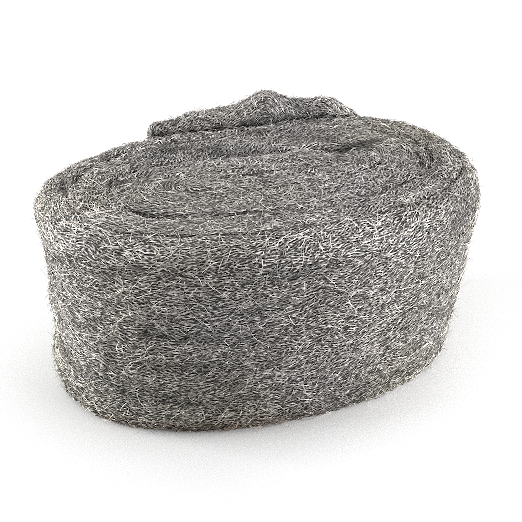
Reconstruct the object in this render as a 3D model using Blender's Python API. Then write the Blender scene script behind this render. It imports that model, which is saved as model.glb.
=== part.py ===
# Steel wool roll: one long strip of matted steel fibre, wound on itself into a flattened oval.
# It stands on the lower edge of the strip. Metres, +Z up, long axis of the oval along X.
# The origin is under the middle of the roll, on the surface that it stands on.

from math import cos, exp, pi, radians, sin, sqrt

import bmesh
import bpy
from mathutils import Vector, noise

# Sizes of the whole roll
STRIP_WIDTH = 0.0774         # height of the roll, floor to the common top edge
ROLL_LENGTH = 0.1676         # along X, at the top edge
ROLL_DEPTH = 0.1120          # along Y, at the top edge
BASE_LENGTH = 0.1602         # the roll narrows a little towards the floor
BASE_DEPTH = 0.1050
BASE_SHIFT = -0.0052         # the wall leans, so the base sits this far along X from the top
OVAL_FULLNESS = 2.41         # exponent of the outline, where 2 is an ellipse
BOW = 0.0031                 # both ends of the oval bend this far to the back
CORE_LINE = 0.060            # length of the flat fold that the strip is wound around

# The wound strip
STRIP_THICKNESS = 0.0156     # pitch of the winding
TURN_GAP = 0.0004            # air between neighbouring turns
START_THICKNESS = 0.0012     # the inner end is pulled thin
TAIL_ANGLE = 108.5           # where the outer end lies, seen from above, from +X towards +Y
TAIL_THINNING = 0.0022       # the outer end is pulled thin too
TAIL_TAPER = 12.0            # degrees over which it thins
FULL_STRETCH = 289.0         # degrees of the last turn that keep the full outline

# Rounding of the roll as a whole, and of the strip's own edges
RIM_DROP = 0.0110            # the upper face falls away to the wall by this height
RIM_ACROSS = 0.0110          # and over this distance
GROOVE_ACROSS = 0.0012       # top edges where two turns are pressed together
GROOVE_DROP = 0.0006
FOOT_ROUND = 0.0040          # outer bottom edge
FOOT_GROOVE_ROUND = 0.0016   # bottom edges inside the roll

# The last stretch of the strip has slipped up and stands above the rest
FLAP_RISE = 0.0062
FLAP_LENGTH = 55.0           # degrees back from the tail
FLAP_RUN_OUT = 9.0           # degrees either way over which it sinks back to the common height
FLAP_ROUND = 0.0045          # its outer upper edge
FLAP_LEAN = 0.0060           # its inner face slopes over this distance
TAIL_END = 3.5               # degrees over which the torn outer end runs out
TAIL_END_THINNING = 0.35     # share of the thickness that each of its faces loses
TAIL_END_DROP = 0.0030       # how much lower its tip is

# The upper rim bellies out over the wall at the -X end
BELLY = 0.0024
BELLY_ANGLE = 190.0
BELLY_SPREAD = 42.0
BELLY_FOOT = 0.80            # share of the height where it starts
BELLY_BLEND = 0.12           # share of the height over which it comes in

# The whole surface is a little lumpy
LUMP_SIZE = 0.0130
WALL_LUMPS = 0.0006
TOP_LUMPS = 0.0009
DENTS_REACH_DOWN = 0.022     # lumps and hollows of the upper face fade out at this depth
BELLY_FADE = 3.0             # powers by which the wall's shape is lost on the turns inside
MARKS_FADE = 12.0

# Each mark below starts with (degrees back from the tail, spread in degrees, ...).
# Where turns are squeezed in (-) or pushed out (+), as a share of the strip's thickness
SQUEEZES = [
    (377.0, 21.0, -0.49),
    (644.0, 50.0, 0.25),
    (824.0, 45.0, 0.33),
    (894.0, 25.0, 0.14),
    (955.0, 32.0, 0.17),
    (1017.0, 45.0, 0.32),
    (1113.0, 35.0, -0.22),
]
# Where a groove between two turns stands open, with its width to each side and its depth
OPEN_GROOVES = [
    (388.0, 34.0, 0.0030, 0.0016),
    (662.0, 16.0, 0.0034, 0.0050),
    (630.0, 24.0, 0.0020, 0.0012),
    (700.0, 30.0, 0.0022, 0.0012),
    (790.0, 20.0, 0.0018, 0.0020),
    (839.0, 14.0, 0.0020, 0.0040),
    (889.0, 18.0, 0.0018, 0.0036),
    (965.0, 24.0, 0.0020, 0.0038),
    (1030.0, 18.0, 0.0045, 0.0046),
    (1085.0, 34.0, 0.0058, 0.0040),
    (1143.0, 16.0, 0.0050, 0.0062),
    (1190.0, 26.0, 0.0016, 0.0010),
    (1322.0, 13.0, 0.0022, 0.0030),
]
# Torn peaks (+) and low places (-) along the upper edge of the flap
FLAP_PEAKS = [
    (0.0, 11.0, -0.0030),
    (27.0, 5.0, 0.0050),
]
# Hollows in the upper face: (distance from the core line, angle, half width, spread in degrees, depth)
TOP_HOLLOWS = [
    (0.0490, 143.0, 0.0042, 24.0, 0.0024),
    (0.0455, 167.0, 0.0026, 9.0, 0.0030),
    (0.0240, 112.0, 0.0050, 16.0, 0.0012),
    (0.0160, 42.0, 0.0030, 11.0, 0.0030),
]
# Soft creases of the wall:
# (height, angle, half height, spread in degrees, depth, climb for each degree)
WALL_CREASES = [
    (0.0619, 195.0, 0.0040, 12.0, 0.0010, 0.00052),
    (0.0674, 229.0, 0.0040, 22.0, 0.0014, 0.0),
    (0.0424, 224.0, 0.0040, 22.0, 0.0009, 0.0),
    (0.0310, 240.0, 0.0040, 20.0, 0.0010, 0.0),
    (0.0161, 241.0, 0.0040, 16.0, 0.0009, -0.00024),
    (0.0184, 188.0, 0.0045, 26.0, 0.0014, 0.0),
]

# Mesh steps along the winding, in degrees: each divides the next, and they coarsen inwards
TAIL_STEP = 1.25
OUTER_STEP = 5.0
MIDDLE_STEP = 7.5
INNER_STEP = 15.0
OUTER_END = 720.0
MIDDLE_END = 1080.0
WALL_ROWS = 8
TOP_ROWS = 5
INNER_ROWS = 4

HALF_LENGTH = ROLL_LENGTH / 2
HALF_DEPTH = ROLL_DEPTH / 2
WINDING = FULL_STRETCH + 360.0 * (HALF_DEPTH - START_THICKNESS) / STRIP_THICKNESS


def swell(back, marks):
    """Sum of smooth bumps at their places along the winding."""
    return sum(amount * exp(-((back - place) / spread) ** 2) for place, spread, amount in marks)


def smooth_step(value):
    value = min(max(value, 0.0), 1.0)
    return value * value * (3.0 - 2.0 * value)


def signed_power(value, exponent):
    return (1.0 if value >= 0 else -1.0) * abs(value) ** exponent


def turned_away(angle, centre):
    """Degrees from a direction, from -180 to 180."""
    return (angle - centre + 180.0) % 360.0 - 180.0


def outer_reach(back):
    """Distance of the strip's outer face from the core line, measured at the front of the oval."""
    if back <= FULL_STRETCH:
        return HALF_DEPTH - TAIL_THINNING * (1.0 - smooth_step(back / TAIL_TAPER))
    turns_in = (back - FULL_STRETCH) / 360.0
    return HALF_DEPTH - STRIP_THICKNESS * (turns_in - swell(back, SQUEEZES))


def inner_reach(back):
    """Distance of the strip's inner face, which lies on the turn inside it."""
    inside = back + 360.0
    if inside <= WINDING:
        return outer_reach(inside) + TURN_GAP
    # Past the strip's inner end the first turn closes on the core line
    over_end = outer_reach(WINDING) + TURN_GAP
    closed = smooth_step((inside - WINDING - 4.0) / 10.0)
    return over_end + (TURN_GAP - over_end) * closed


def raised(back):
    """How far the flap has slipped up, from 0 to 1."""
    return smooth_step((FLAP_LENGTH + FLAP_RUN_OUT - back) / (2 * FLAP_RUN_OUT))


def rim_fall(reach):
    """Drop of the upper face near the outline."""
    closeness = 1.0 - (HALF_DEPTH - reach) / RIM_ACROSS
    closeness = min(max(closeness, 0.0), 1.0)
    return RIM_DROP * (1.0 - sqrt(1.0 - closeness ** 2))


def groove(back):
    """Width and depth of the rounding on each side of the groove outside a place of the strip."""
    across = swell(back, [(place, spread, width) for place, spread, width, _ in OPEN_GROOVES])
    drop = swell(back, [(place, spread, depth) for place, spread, _, depth in OPEN_GROOVES])
    return GROOVE_ACROSS + across, GROOVE_DROP + drop


def belly(angle, height):
    swelling = BELLY * exp(-(turned_away(angle, BELLY_ANGLE) / BELLY_SPREAD) ** 2)
    return swelling * smooth_step((height / STRIP_WIDTH - BELLY_FOOT) / BELLY_BLEND)


def wall_marks(angle, height, outline):
    """How far the wall stands out beside its creases, swellings and lumps."""
    swelling = WALL_LUMPS * noise.noise(Vector((*outline, height)) / LUMP_SIZE)
    for level, centre, half_height, spread, depth, climb in WALL_CREASES:
        away = turned_away(angle, centre)
        over = height - level - climb * away
        swelling -= depth * exp(-(away / spread) ** 2 - (over / half_height) ** 2)
    return swelling


def top_dents(angle, reach, x, y):
    """How far the upper face lies lower: the hollows and the lumps."""
    depth_there = TOP_LUMPS * noise.noise(Vector((x, y, STRIP_WIDTH)) / LUMP_SIZE)
    for place, centre, half_width, spread, depth in TOP_HOLLOWS:
        away = turned_away(angle, centre)
        depth_there += depth * exp(-((reach - place) / half_width) ** 2 - (away / spread) ** 2)
    return depth_there


def place_point(angle, reach, height):
    """A point of the roll. Every turn is an oval between the core line and the outline."""
    c, s = cos(radians(angle)), sin(radians(angle))
    outline_x = HALF_LENGTH * signed_power(c, 2 / OVAL_FULLNESS)
    outline_y = HALF_DEPTH * signed_power(s, 2 / OVAL_FULLNESS)
    share = reach / HALF_DEPTH
    down = 1.0 - height / STRIP_WIDTH

    swelling = belly(angle, height) * share ** BELLY_FADE
    swelling += wall_marks(angle, height, (outline_x, outline_y)) * share ** MARKS_FADE
    share += swelling / HALF_DEPTH * share
    x = (1.0 - share) * CORE_LINE / 2 * c + share * outline_x
    y = share * outline_y + BOW * (share * outline_x / HALF_LENGTH) ** 2
    near_top = smooth_step((height - STRIP_WIDTH + DENTS_REACH_DOWN) / DENTS_REACH_DOWN)
    lowered = top_dents(angle, reach, x, y) * near_top

    lean = BASE_SHIFT * signed_power(down, 1.5)
    x = x * (1.0 - (1.0 - BASE_LENGTH / ROLL_LENGTH) * down) + lean
    y = y * (1.0 - (1.0 - BASE_DEPTH / ROLL_DEPTH) * down)
    return x, y, height - lowered


def section(back):
    """Points around the strip's cross-section, from the inner foot outwards and over the top."""
    inner, outer = inner_reach(back), outer_reach(back)
    torn = 1.0 - sqrt(1.0 - max(1.0 - back / TAIL_END, 0.0) ** 2)
    thinned = TAIL_END_THINNING * (outer - inner) * torn
    inner, outer = inner + thinned, outer - thinned
    thick = outer - inner
    up = raised(back)
    top = STRIP_WIDTH + (FLAP_RISE + swell(back, FLAP_PEAKS)) * up - TAIL_END_DROP * torn

    def upper_edge(reach, edge_drop):
        return top - edge_drop - rim_fall(reach) * (1.0 - up)

    outer_across, outer_drop = groove(back)
    inner_across, inner_drop = groove(back + 360.0)
    outer_across = min(outer_across + (FLAP_ROUND - outer_across) * up, 0.45 * thick)
    inner_across = min(inner_across + (FLAP_LEAN - inner_across) * up, 0.45 * thick)
    outer_drop += (FLAP_ROUND - outer_drop) * up
    inner_drop += (FLAP_RISE - inner_drop) * up
    outside = back < 360.0
    foot = min(FOOT_ROUND if outside else FOOT_GROOVE_ROUND, 0.3 * thick)
    inner_foot = min(FOOT_GROOVE_ROUND, 0.3 * thick)

    points = [(inner + inner_foot, 0.0), (outer - foot, 0.0)]
    for turn in (pi / 4, pi / 2):
        points.append((outer - foot + foot * sin(turn), foot - foot * cos(turn)))
    wall_top = upper_edge(outer, outer_drop)
    for level in range(1, WALL_ROWS):
        points.append((outer, foot + (wall_top - foot) * level / WALL_ROWS))
    for turn in (0.0, pi / 4, pi / 2):
        reach = outer - outer_across * (1.0 - cos(turn))
        points.append((reach, upper_edge(reach, outer_drop * (1.0 - sin(turn)))))
    for level in range(1, TOP_ROWS):
        reach = outer - outer_across - level / TOP_ROWS * (thick - outer_across - inner_across)
        points.append((reach, upper_edge(reach, 0.0)))
    for turn in (pi / 2, pi / 4, 0.0):
        reach = inner + inner_across * (1.0 - cos(turn))
        points.append((reach, upper_edge(reach, inner_drop * (1.0 - sin(turn)))))
    wall_top = upper_edge(inner, inner_drop)
    for level in range(1, INNER_ROWS):
        points.append((inner, wall_top - (wall_top - inner_foot) * level / INNER_ROWS))
    points.append((inner, inner_foot))
    return points


def winding_stations():
    """Places along the strip, in degrees back from the tail, aligned from turn to turn."""
    stations, back = [], 0.0
    while back < WINDING - 0.25 * INNER_STEP:
        stations.append(back)
        if back < OUTER_STEP:
            back += TAIL_STEP
        elif back < OUTER_END:
            back += OUTER_STEP
        elif back < MIDDLE_END:
            back += MIDDLE_STEP
        else:
            back += INNER_STEP
    return stations + [WINDING]


def build_roll():
    rings = []
    for back in winding_stations():
        angle = TAIL_ANGLE - back
        rings.append([place_point(angle, reach, height) for reach, height in section(back)])

    # The origin goes under the middle of the roll
    xs = [point[0] for ring in rings for point in ring]
    ys = [point[1] for ring in rings for point in ring]
    middle_x, middle_y = (min(xs) + max(xs)) / 2, (min(ys) + max(ys)) / 2

    shape = bmesh.new()
    loops = [
        [shape.verts.new((x - middle_x, y - middle_y, z)) for x, y, z in ring]
        for ring in rings
    ]
    for near, far in zip(loops, loops[1:]):
        for i, vertex in enumerate(near):
            j = (i + 1) % len(near)
            shape.faces.new((vertex, near[j], far[j], far[i]))
    shape.faces.new(list(reversed(loops[0])))
    shape.faces.new(loops[-1])
    bmesh.ops.recalc_face_normals(shape, faces=shape.faces)

    mesh = bpy.data.meshes.new("wool_roll")
    shape.to_mesh(mesh)
    shape.free()
    mesh.shade_smooth()
    mesh.set_sharp_from_angle(angle=radians(40))
    return bpy.data.objects.new("wool_roll", mesh)


def steel_wool():
    material = bpy.data.materials.new("steel_wool")
    material.use_nodes = True
    shader = material.node_tree.nodes["Principled BSDF"]
    shader.inputs["Base Color"].default_value = (0.30, 0.29, 0.27, 1.0)
    shader.inputs["Metallic"].default_value = 0.85
    shader.inputs["Roughness"].default_value = 0.42
    return material


for old in list(bpy.data.objects):
    bpy.data.objects.remove(old)

collection = bpy.data.collections.new("steel_wool_roll")
bpy.context.scene.collection.children.link(collection)
roll = build_roll()
roll.data.materials.append(steel_wool())
collection.objects.link(roll)
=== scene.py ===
# Steel wool roll: its looks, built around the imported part.
# A matted body follows the wound strip of the part, and loose steel fibres lie all over it.

from math import cos, pi, radians, sin

import bpy
import numpy as np
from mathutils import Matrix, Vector, noise
from mathutils.bvhtree import BVHTree


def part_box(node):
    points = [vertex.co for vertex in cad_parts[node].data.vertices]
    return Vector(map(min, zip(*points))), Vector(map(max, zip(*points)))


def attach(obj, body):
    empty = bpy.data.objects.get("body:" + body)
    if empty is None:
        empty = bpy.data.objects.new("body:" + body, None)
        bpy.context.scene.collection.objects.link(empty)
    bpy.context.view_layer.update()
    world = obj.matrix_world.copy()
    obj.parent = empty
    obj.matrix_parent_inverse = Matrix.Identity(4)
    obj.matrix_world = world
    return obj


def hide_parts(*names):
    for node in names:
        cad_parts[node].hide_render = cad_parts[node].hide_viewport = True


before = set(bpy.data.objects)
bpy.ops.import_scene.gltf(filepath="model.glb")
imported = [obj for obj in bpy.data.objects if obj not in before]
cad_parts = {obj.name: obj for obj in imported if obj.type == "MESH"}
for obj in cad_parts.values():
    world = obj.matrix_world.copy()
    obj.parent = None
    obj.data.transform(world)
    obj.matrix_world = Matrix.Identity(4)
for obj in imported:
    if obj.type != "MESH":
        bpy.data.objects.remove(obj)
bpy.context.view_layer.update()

# The wound strip, with the sizes and marks of the part, in metres and degrees
STRIP_WIDTH = 0.0774  # height of the roll, floor to the common top edge
ROLL_LENGTH = 0.1676  # along X, at the top edge
ROLL_DEPTH = 0.1120  # along Y, at the top edge
BASE_LENGTH = 0.1602  # the roll narrows a little towards the floor
BASE_DEPTH = 0.1050
BASE_SHIFT = -0.0040  # the base sits this far along X from the top
BASE_CURVE = 1.5  # power by which the wall bends over to it
OVAL_FULLNESS = 2.41  # exponent of the outline, where 2 is an ellipse
BOW = 0.0031  # both ends of the oval bend this far to the back
CORE_LINE = 0.060  # length of the flat fold that the strip is wound around
STRIP_THICKNESS = 0.0156  # pitch of the winding
TURN_GAP = 0.0002  # air between neighbouring turns
START_THICKNESS = 0.0012  # the inner end is pulled thin
CORE_CLOSES = (4.0, 10.0)  # the core closes this far past the inner end, and over so many degrees
TAIL_ANGLE = 108.5  # where the outer end lies, seen from above, from +X towards +Y
TAIL_THINNING = 0.0022  # the outer end is pulled thin too
TAIL_TAPER = 12.0  # degrees over which it thins
FULL_STRETCH = 289.0  # degrees of the last turn that keep the full outline
TAIL_END = 3.5  # degrees over which the torn outer end runs out
TAIL_END_THINNING = 0.35  # share of the thickness that each of its faces loses
TAIL_END_DROP = 0.0030  # how much lower its tip is
TAIL_MORE = 3.0  # degrees by which torn fibres run on past the tail

# Edges of the strip
RIM_DROP = 0.0110  # the upper face falls away to the wall by this height
RIM_ACROSS = 0.0110  # and over this distance
GROOVE_ACROSS = 0.0012  # top edges where two turns are pressed together
GROOVE_DROP = 0.0006
LEAST_ACROSS = 0.0002  # they are never sharper than this
LEAST_DROP = 0.0001
EDGE_LIMIT = 0.48  # share of the thickness that a top edge may take
FOOT_ROUND = 0.0040  # outer bottom edge
FOOT_GROOVE_ROUND = 0.0016  # bottom edges inside the roll
FOOT_LIMIT = 0.3  # share of the thickness that a bottom edge may take

# The raised flap at the outer end
FLAP_RISE = 0.0062
FLAP_LENGTH = 55.0  # degrees back from the tail
FLAP_RUN_OUT = 9.0  # degrees either way over which it sinks back to the common height
FLAP_ROUND = 0.0045  # its outer upper edge
FLAP_LEAN = 0.0060  # its inner face slopes over this distance

# The wall swells out under the rim at the left end
BELLY = 0.0024
BELLY_ANGLE = 190.0
BELLY_SPREAD = 42.0
BELLY_FOOT = 0.80  # share of the height where it starts
BELLY_BLEND = 0.12  # share of the height over which it comes in

# Lumps, and how the marks of wall and upper face fade into the roll
LUMP_SIZE = 0.0130
WALL_LUMPS = 0.0006
TOP_LUMPS = 0.0009
DENTS_REACH_DOWN = 0.022  # lumps and hollows of the upper face fade out at this depth
BELLY_FADE = 3.0  # powers by which the wall's shape is lost on the turns inside
MARKS_FADE = 12.0

# Peaks of the flap: (degrees back from the tail, spread in degrees, height)
FLAP_PEAKS = [
    (0.0, 11.0, -0.0020),
    (27.0, 5.0, 0.0050),
]
# Where the turns lie closer or wider than usual: (degrees back, spread, share of the strip's thickness)
SQUEEZES = [
    (377.0, 21.0, -0.49),
    (644.0, 50.0, 0.25),
    (824.0, 45.0, 0.33),
    (894.0, 25.0, 0.14),
    (955.0, 32.0, 0.17),
    (1017.0, 45.0, 0.32),
    (1034.0, 13.0, -0.12),
    (1113.0, 35.0, -0.22),
]
# Where a groove between two turns stands open: (degrees back, spread, width to each side, depth)
OPEN_GROOVES = [
    (388.0, 34.0, 0.0030, 0.0016),
    (628.0, 30.0, -0.0008, -0.0005),
    (664.0, 11.0, 0.0030, 0.0036),
    (700.0, 30.0, 0.0022, 0.0012),
    (790.0, 20.0, 0.0010, 0.0010),
    (839.0, 14.0, 0.0010, 0.0014),
    (889.0, 22.0, 0.0008, 0.0010),
    (965.0, 24.0, 0.0020, 0.0038),
    (996.0, 14.0, -0.0012, -0.0014),
    (1030.0, 16.0, 0.0022, 0.0022),
    (1085.0, 34.0, 0.0058, 0.0040),
    (1143.0, 16.0, 0.0050, 0.0062),
    (1190.0, 26.0, 0.0016, 0.0010),
    (1322.0, 13.0, 0.0022, 0.0030),
]
# Grooves that loose fibres fill, so that they get more fibres and lose their painted shade: (degrees back,
# spread, share)
FILLED_GROOVES = [
    (364.0, 9.0, 0.50),
    (412.0, 20.0, 0.75),
    (628.0, 30.0, 0.90),
    (842.0, 24.0, 0.94),
    (884.0, 16.0, 0.45),
    (1004.0, 24.0, 0.80),
]
# Hollows in the upper face: (reach, angle, half width, spread in degrees, depth)
TOP_HOLLOWS = [
    (0.0490, 143.0, 0.0042, 24.0, 0.0024),
    (0.0455, 167.0, 0.0026, 9.0, 0.0030),
    (0.0326, 349.0, 0.0009, 13.0, 0.0036),
    (0.0287, 352.0, 0.0008, 9.0, 0.0016),
    (0.0240, 112.0, 0.0050, 16.0, 0.0012),
    (0.0160, 42.0, 0.0030, 11.0, 0.0012),
    (0.0500, 103.5, 0.0014, 2.0, 0.0030),
]
# Soft creases along the wall: (height, angle, spread in degrees, depth, half width, climb per degree)
WALL_CREASES = [
    (0.0619, 195.0, 12.0, 0.0010, 0.0020, 0.00052),
    (0.0686, 229.0, 20.0, 0.0006, 0.0016, 0.0),
    (0.0404, 208.0, 8.0, 0.0012, 0.0014, 0.00042),
    (0.0442, 240.0, 15.0, 0.0011, 0.0013, -0.00018),
    (0.0310, 240.0, 19.0, 0.0012, 0.0013, 0.0),
    (0.0161, 241.0, 15.0, 0.0011, 0.0013, -0.00024),
    (0.0016, 247.0, 18.0, 0.0012, 0.0012, 0.0),
    (0.0254, 318.0, 30.0, 0.0006, 0.0012, -0.00047),
    (0.0184, 188.0, 26.0, 0.0014, 0.0045, 0.0),
    (0.0092, 181.0, 16.0, -0.0018, 0.0058, 0.0),
]

# Below this height is the bulge at the left foot, which is left out when the roll is fitted to the node's box
FITTED_ABOVE = 0.030

HALF_LENGTH = ROLL_LENGTH / 2
HALF_DEPTH = ROLL_DEPTH / 2
WINDING = FULL_STRETCH + 360.0 * (HALF_DEPTH - START_THICKNESS) / STRIP_THICKNESS

# Painted shade (+) and painted light (-) on the upper face, streaks whose colour is painted darker or
# lighter: (from x, y, to x, y, half width, share of light)
TOP_PAINTED_LIGHT_AND_SHADE = [
    (-0.0439, 0.0236, -0.0307, 0.0307, 0.0038, 0.22),
    (-0.0307, 0.0307, -0.0121, 0.0247, 0.0048, 0.36),
    (-0.0121, 0.0247, 0.0093, 0.0183, 0.0046, 0.32),
    (0.0170, 0.0252, 0.0346, 0.0206, 0.0034, 0.36),
    (0.0318, 0.0048, 0.0380, 0.0120, 0.0022, 0.50),
    (0.0380, 0.0122, 0.0445, 0.0113, 0.0032, 0.66),
    (0.0445, 0.0113, 0.0529, 0.0136, 0.0028, 0.60),
    (0.0527, 0.0007, 0.0555, -0.0021, 0.0030, 0.18),
    (-0.0668, 0.0149, -0.0604, 0.0235, 0.0020, 0.18),
    (-0.0532, -0.0138, -0.0488, -0.0176, 0.0011, 0.28),
    (-0.0488, -0.0176, -0.0442, -0.0204, 0.0011, 0.36),
    (-0.0442, -0.0204, -0.0347, -0.0250, 0.0011, 0.42),
    (-0.0346, -0.0246, -0.0252, -0.0265, 0.0011, 0.50),
    (-0.0254, -0.0271, -0.0068, -0.0328, 0.0010, 0.40),
    (-0.0066, -0.0322, 0.0122, -0.0356, 0.0010, 0.25),
    (0.0126, -0.0365, 0.0269, -0.0344, 0.0011, 0.22),
    (0.0299, -0.0291, 0.0519, -0.0247, 0.0018, 0.16),
    (0.0040, -0.0430, 0.0270, -0.0470, 0.0045, -0.16),
    (-0.0730, -0.0183, -0.0660, -0.0260, 0.0040, -0.14),
    (-0.0309, -0.0110, -0.0213, -0.0150, 0.0014, 0.28),
    (0.0658, 0.0084, 0.0674, -0.0010, 0.0012, 0.36),
    (0.0674, -0.0010, 0.0625, -0.0110, 0.0012, 0.36),
    (0.0683, -0.0030, 0.0661, -0.0114, 0.0011, 0.34),
    (0.0661, -0.0114, 0.0560, -0.0231, 0.0012, 0.34),
    (-0.0564, 0.0035, -0.0519, 0.0072, 0.0018, 0.40),
    (-0.0519, 0.0072, -0.0446, 0.0088, 0.0020, 0.46),
    (-0.0446, 0.0088, -0.0305, 0.0225, 0.0030, 0.24),
    (-0.0430, -0.0110, -0.0340, -0.0145, 0.0030, 0.18),
    (0.0227, 0.0419, 0.0418, 0.0386, 0.0014, 0.38),
    (0.0444, 0.0451, 0.0503, 0.0438, 0.0020, -0.50),
    (0.0154, 0.0455, 0.0313, 0.0466, 0.0025, 0.24),
    (0.0313, 0.0466, 0.0410, 0.0440, 0.0022, 0.18),
    (-0.0273, 0.0469, -0.0136, 0.0417, 0.0012, 0.28),
    (-0.0068, 0.0084, 0.0258, -0.0016, 0.0022, -0.22),
    (0.0258, -0.0016, 0.0473, 0.0050, 0.0025, 0.15),
    (0.0016, 0.0366, 0.0414, 0.0264, 0.0040, 0.20),
    (-0.0384, 0.0050, -0.0281, 0.0085, 0.0025, -0.15),
    (0.0300, -0.0374, 0.0499, -0.0320, 0.0032, -0.20),
    (-0.0753, -0.0002, -0.0654, -0.0150, 0.0030, -0.36),
    (-0.0654, -0.0150, -0.0560, -0.0250, 0.0030, -0.18),
]
# Painted shade (+) and painted light (-) on the wall, patches whose colour is painted darker or lighter:
# (height, angle, half height, spread, share of light)
WALL_PAINTED_LIGHT_AND_SHADE = [
    (0.0690, 309.0, 0.0050, 12.0, 0.38),
    (0.0738, 316.0, 0.0030, 9.0, 0.26),
    (0.0040, 194.0, 0.0060, 9.0, 0.36),
    (0.0755, 276.0, 0.0040, 14.0, -0.16),
    (0.0755, 203.0, 0.0040, 10.0, -0.20),
    (0.0360, 283.0, 0.0170, 20.0, -0.17),
    (0.0400, 218.0, 0.0110, 22.0, -0.09),
    (0.0708, 320.0, 0.0034, 9.0, 0.28),
    (0.0741, 208.0, 0.0025, 8.0, 0.22),
    (0.0668, 229.0, 0.0024, 12.0, -0.20),
    (0.0726, 253.0, 0.0040, 10.0, 0.22),
    (0.0675, 267.0, 0.0050, 9.0, 0.10),
    (0.0523, 284.0, 0.0060, 8.0, -0.14),
    (0.0587, 233.0, 0.0080, 10.0, -0.13),
    (0.0400, 222.0, 0.0040, 10.0, 0.12),
    (0.0220, 249.0, 0.0035, 12.0, 0.20),
    (0.0213, 206.0, 0.0050, 7.0, -0.32),
    (0.0048, 241.0, 0.0020, 14.0, 0.20),
    (0.0061, 273.0, 0.0025, 12.0, 0.20),
]
# The painted streaks of light and shade come in from the first depth below the top edge, over the second
TOP_PAINTED_LIGHT_AND_SHADE_DEPTH = (0.018, 0.008)

# Colour of the steel, and the size of its patches
COOL_STEEL = (1.0, 0.955, 0.935)
WARM_STEEL = (1.0, 0.935, 0.800)
TINT_SIZE = 0.035
WARM_SHARE = 0.16  # share of the warm colour everywhere
WARM_ENDS = 0.42  # more towards both ends
WARM_FOOT = 0.28  # more towards the foot
WARM_PATCHES = 0.45  # more or less by patches
FOOT_REACH = 0.6  # share of the height up to which the foot's colour fades
OLIVE = 0.030  # greener at both ends of the foot
# Brownish band at the front of the foot
RUST = (1.0, 0.87, 0.80)
RUST_MIDDLE = -0.034
RUST_SPREAD = 0.038
RUST_HEIGHT = 0.0052
RUST_TOP = 1.6  # heights at which it begins to come in
RUST_FRONT = 0.030  # distance in front of the middle where it is full

# Mesh of the body: rings along the winding, points round each ring
RING_POINTS = 66
OUTER_STEP = 1.0
INNER_STEP = 2.0
OUTER_END = 380.0  # degrees back where the coarser rings begin
# Points along the cross-section before they are spread anew
ARC_POINTS = 9
WALL_POINTS = 80
TOP_POINTS = 26
INNER_WALL_POINTS = 60
# How closely the spread points follow hidden faces, the underside and the upper face, next to the wall
HIDDEN_SHARE = 0.06
UNDER_SHARE = 0.25
TOP_SHARE = 1.4
OPEN_DEPTH = 0.010  # faces between turns show to about this depth

# The matted surface has streaks along the strip, with finer ones among them
STREAK_LENGTH = 0.030
STREAK_WIDTH = 0.0019
FINE_SHARE = 0.6
FINE_SCALE = (2.2, 1.9, 1.0)
FINE_PLACE = 17.0
WALL_RELIEF = 0.00026
TOP_RELIEF = 0.00020  # more on the upper face
TOP_RELIEF_DEPTH = (0.014, 0.010)


def swell(back, marks):
    """Sum of smooth bumps at their places along the winding."""
    return sum(amount * np.exp(-((back - place) / spread) ** 2) for place, spread, amount in marks)


def smooth_step(value):
    value = np.clip(value, 0.0, 1.0)
    return value * value * (3.0 - 2.0 * value)


def signed_power(value, exponent):
    return np.sign(value) * np.abs(value) ** exponent


def turned_away(angle, centre):
    """Degrees from a direction, from -180 to 180."""
    return (angle - centre + 180.0) % 360.0 - 180.0


def noise_field(places):
    """Smooth noise from -1 to 1 at each place."""
    flat = places.reshape(-1, 3)
    values = [noise.noise(Vector(place)) for place in flat]
    return np.array(values).reshape(places.shape[:-1])


def outer_reach(back):
    """Distance of the strip's outer face from the core line, measured at the front of the oval."""
    if back <= FULL_STRETCH:
        return HALF_DEPTH - TAIL_THINNING * (1.0 - smooth_step(back / TAIL_TAPER))
    turns_in = (back - FULL_STRETCH) / 360.0
    return HALF_DEPTH - STRIP_THICKNESS * (turns_in - swell(back, SQUEEZES))


def inner_reach(back):
    """Distance of the strip's inner face, which lies on the turn inside it."""
    inside = back + 360.0
    if inside <= WINDING:
        return outer_reach(inside) + TURN_GAP
    over_end = outer_reach(WINDING) + TURN_GAP
    start, stretch = CORE_CLOSES
    closed = smooth_step((inside - WINDING - start) / stretch)
    return over_end + (TURN_GAP - over_end) * closed


def raised(back):
    """How far the flap has slipped up, from 0 to 1."""
    return smooth_step((FLAP_LENGTH + FLAP_RUN_OUT - back) / (2 * FLAP_RUN_OUT))


def rim_fall(reach):
    """Drop of the upper face near the outline."""
    closeness = np.clip(1.0 - (HALF_DEPTH - reach) / RIM_ACROSS, 0.0, 1.0)
    return RIM_DROP * (1.0 - np.sqrt(1.0 - closeness ** 2))


def crease_depth(angle, height):
    """How far the creases of the wall press it in."""
    depth_there = np.zeros_like(height)
    for level, centre, spread, depth, half_width, climb in WALL_CREASES:
        away = turned_away(angle, centre)
        over = height - level - climb * away
        depth_there += depth * np.exp(-(away / spread) ** 2 - (over / half_width) ** 2)
    return depth_there


def hollow_depth(angle, reach):
    """How deep the hollows of the upper face are."""
    return sum(
        depth * np.exp(-((reach - place) / half_width) ** 2 - (turned_away(angle, centre) / spread) ** 2)
        for place, centre, half_width, spread, depth in TOP_HOLLOWS
    )


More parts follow.
